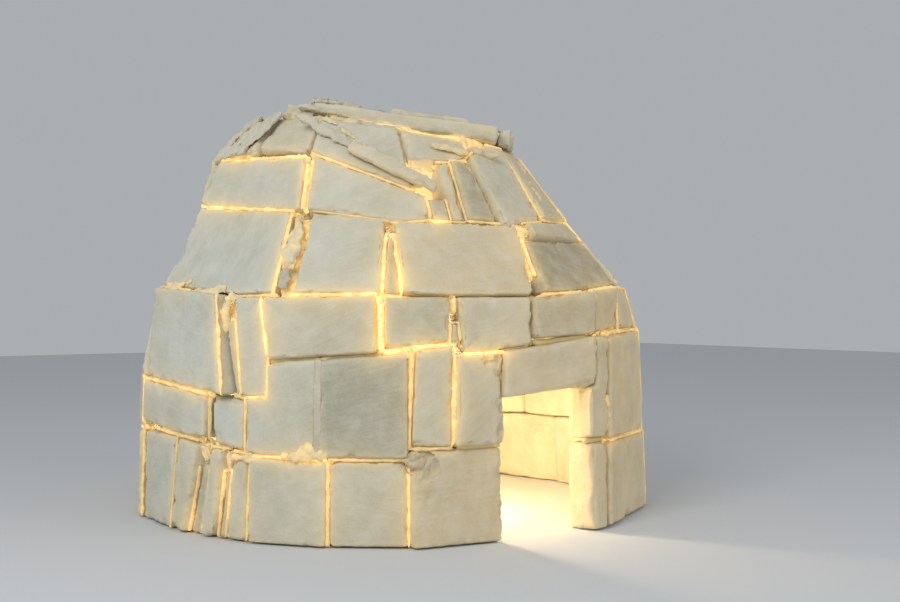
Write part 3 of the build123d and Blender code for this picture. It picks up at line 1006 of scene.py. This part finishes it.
def rope(joint, step, sides, radius_of, depth_of, wide, vertices, faces, levels):
    """A rope of pressed snow along a joint, thick and thin in turn, with closed ends."""
    first = len(vertices)
    picked = list(range(0, len(joint.points) - 1, step)) + [len(joint.points) - 1]
    for order, number in enumerate(picked):
        point = joint.points[number]
        before = joint.points[max(number - 1, 0)]
        after = joint.points[min(number + 1, len(joint.points) - 1)]
        run = (after - before).normalized()
        inward = joint.inward[number]
        across = run.cross(inward).normalized()
        sunk = (inward - run * inward.dot(run)).normalized()
        radius = radius_of(joint, number) * (end_taper if number in (picked[0], picked[-1]) else 1)
        middle = point + inward * depth_of(joint, number)
        middle += across * (waver * noise.noise(point / waver_length + Vector((3, 0, 0))))
        for side in range(sides):
            turn = math.tau * side / sides
            place = middle + across * (wide * radius * math.cos(turn)) + sunk * (radius * math.sin(turn))
            place.z = max(place.z, lowest_bead)
            vertices.append(place)
            levels.append(joint.glow[number])
        for side in range(sides if order else 0):
            here = first + order * sides
            after_side = (side + 1) % sides
            faces.append((here + side, here + after_side, here + after_side - sides, here + side - sides))
    faces.append(tuple(range(first, first + sides)))
    faces.append(tuple(reversed(range(len(vertices) - sides, len(vertices)))))


# A joint's snow is thicker where the joint is wide or brightly lit, and a bright one lies nearer the
# face. Behind it a second rope backs the joint deep in the wall.
thinnest_bead = 0.003
thickest_bead = 0.0092
growth_with_glow = 0.0038
growth_with_width = 0.1
dark_bead_depth = 0.012
rise_with_glow = 0.006
thinnest_backing = 0.009
thickest_backing = 0.016
backing_growth = 0.25


def bead_radius(joint, number):
    level = min(joint.glow[number], 1)
    point = joint.points[number]
    swell = 1 + 0.45 * noise.noise(point / 0.05) + 0.3 * noise.noise(point / 0.014)
    radius = thinnest_bead + growth_with_glow * level + growth_with_width * joint.widths[number]
    return min(radius, thickest_bead) * swell


def bead_depth(joint, number):
    return bead_radius(joint, number) + dark_bead_depth - rise_with_glow * min(joint.glow[number], 1)


def backing_radius(joint, number):
    return min(thinnest_backing + backing_growth * joint.widths[number], thickest_backing)


def backing_depth(joint, number):
    return 0.055


def pressed_in(name, chosen, step, sides, radius_of, depth_of):
    vertices, faces, levels = [], [], []
    for joint in chosen:
        rope(joint, step, sides, radius_of, depth_of, 1, vertices, faces, levels)
    mesh = bpy.data.meshes.new(name)
    mesh.from_pydata(vertices, [], faces)
    mesh.polygons.foreach_set("use_smooth", np.ones(len(mesh.polygons), dtype=bool))
    levels = np.array(levels, dtype=np.float32)
    mesh.attributes.new("glow", "FLOAT", "POINT").data.foreach_set("value", levels)
    mesh.materials.append(lit_snow)
    piece = bpy.data.objects.new(name, mesh)
    bpy.context.scene.collection.objects.link(piece)
    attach(piece, "root")


lit_snow = glowing_snow()
pressed_in(
    "joint_snow",
    [joint for joint in joints if max(joint.glow) > bright],
    1, 7, bead_radius, bead_depth,
)
pressed_in(
    "deep_joint_snow",
    [joint for joint in joints if max(joint.glow) > tight and len(joint.names) > 1],
    2, 6, backing_radius, backing_depth,
)

# The tightest joint is smoothed over with snow of the same kind as the blocks, with a faint painted glow
# and a little painted shade.
smoothed_width = 3.2


def smoothed_radius(joint, number):
    return 0.0075


def smoothed_depth(joint, number):
    return 0.0085


vertices, faces, levels = [], [], []
for joint in joints:
    if max(joint.glow) <= tight:
        rope(joint, 1, 8, smoothed_radius, smoothed_depth, smoothed_width, vertices, faces, levels)
stock = bpy.data.meshes.new("smoothed_joint")
stock.from_pydata(vertices, [], faces)
finished_snow("smoothed_joint", stock, 0.06, 0.24, 0.1, 2)

# The lamp in the room
# A small warm lamp stands low in the room, on the doorway's side of its middle. The snow in and beside
# the joints glows by itself, at the strengths given.
lamp = bpy.data.lights.new("room_lamp", "POINT")
lamp.color = linear("FFE9C4")[:3]
lamp.energy = 62
lamp.shadow_soft_size = 0.12
lamp_object = bpy.data.objects.new("room_lamp", lamp)
lamp_object.location = (-0.2, -0.35, 0.55)
bpy.context.scene.collection.objects.link(lamp_object)

# The studio
# A plain pale floor and sky, one broad soft light high on the left and a weaker, lower one on the
# right.
floor_size = 40


def plain(name, hex_colour):
    material, tree = new_material(name)
    sockets = {"Base Color": linear(hex_colour), "Roughness": 0.9}
    surface = add(tree, "ShaderNodeBsdfPrincipled", 0, {}, sockets)
    add(tree, "ShaderNodeOutputMaterial", None, {}, {"Surface": surface})
    return material


corner = floor_size / 2
floor_mesh = bpy.data.meshes.new("floor")
floor_mesh.from_pydata(
    [(-corner, -corner, 0), (corner, -corner, 0), (corner, corner, 0), (-corner, corner, 0)],
    [],
    [(0, 1, 2, 3)],
)
floor_mesh.materials.append(plain("pale_studio_floor", "D6D8DA"))
floor = bpy.data.objects.new("floor", floor_mesh)
bpy.context.scene.collection.objects.link(floor)

world = bpy.data.worlds.new("studio")
world.use_nodes = True
world.node_tree.nodes["Background"].inputs["Color"].default_value = linear("D4D8DC")
world.node_tree.nodes["Background"].inputs["Strength"].default_value = 0.62
bpy.context.scene.world = world


def soft_light(name, place, size, power, aim=Vector((0, 0, 1))):
    light = bpy.data.lights.new(name, "AREA")
    light.size = size
    light.energy = power
    made = bpy.data.objects.new(name, light)
    made.location = place
    made.rotation_euler = (aim - Vector(place)).to_track_quat("-Z", "Y").to_euler()
    bpy.context.scene.collection.objects.link(made)


soft_light("key", (-7, -4, 6), 4, 320)
soft_light("fill", (4, -8, 3), 5, 120)

# The camera stands seven metres from the middle of the igloo, 1.12 m above the ground, and looks level.
camera_place = Vector((-3.861, -5.848, 1.12))
camera_aim = Vector((0.588, 0.809, 0))
camera = bpy.data.cameras.new("camera")
camera.lens = 49.96
camera.sensor_width = 36
camera_object = bpy.data.objects.new("camera", camera)
camera_object.location = camera_place
camera_object.rotation_euler = camera_aim.to_track_quat("-Z", "Y").to_euler()
bpy.context.scene.collection.objects.link(camera_object)
bpy.context.scene.camera = camera_object

bpy.context.scene.view_settings.view_transform = "Standard"
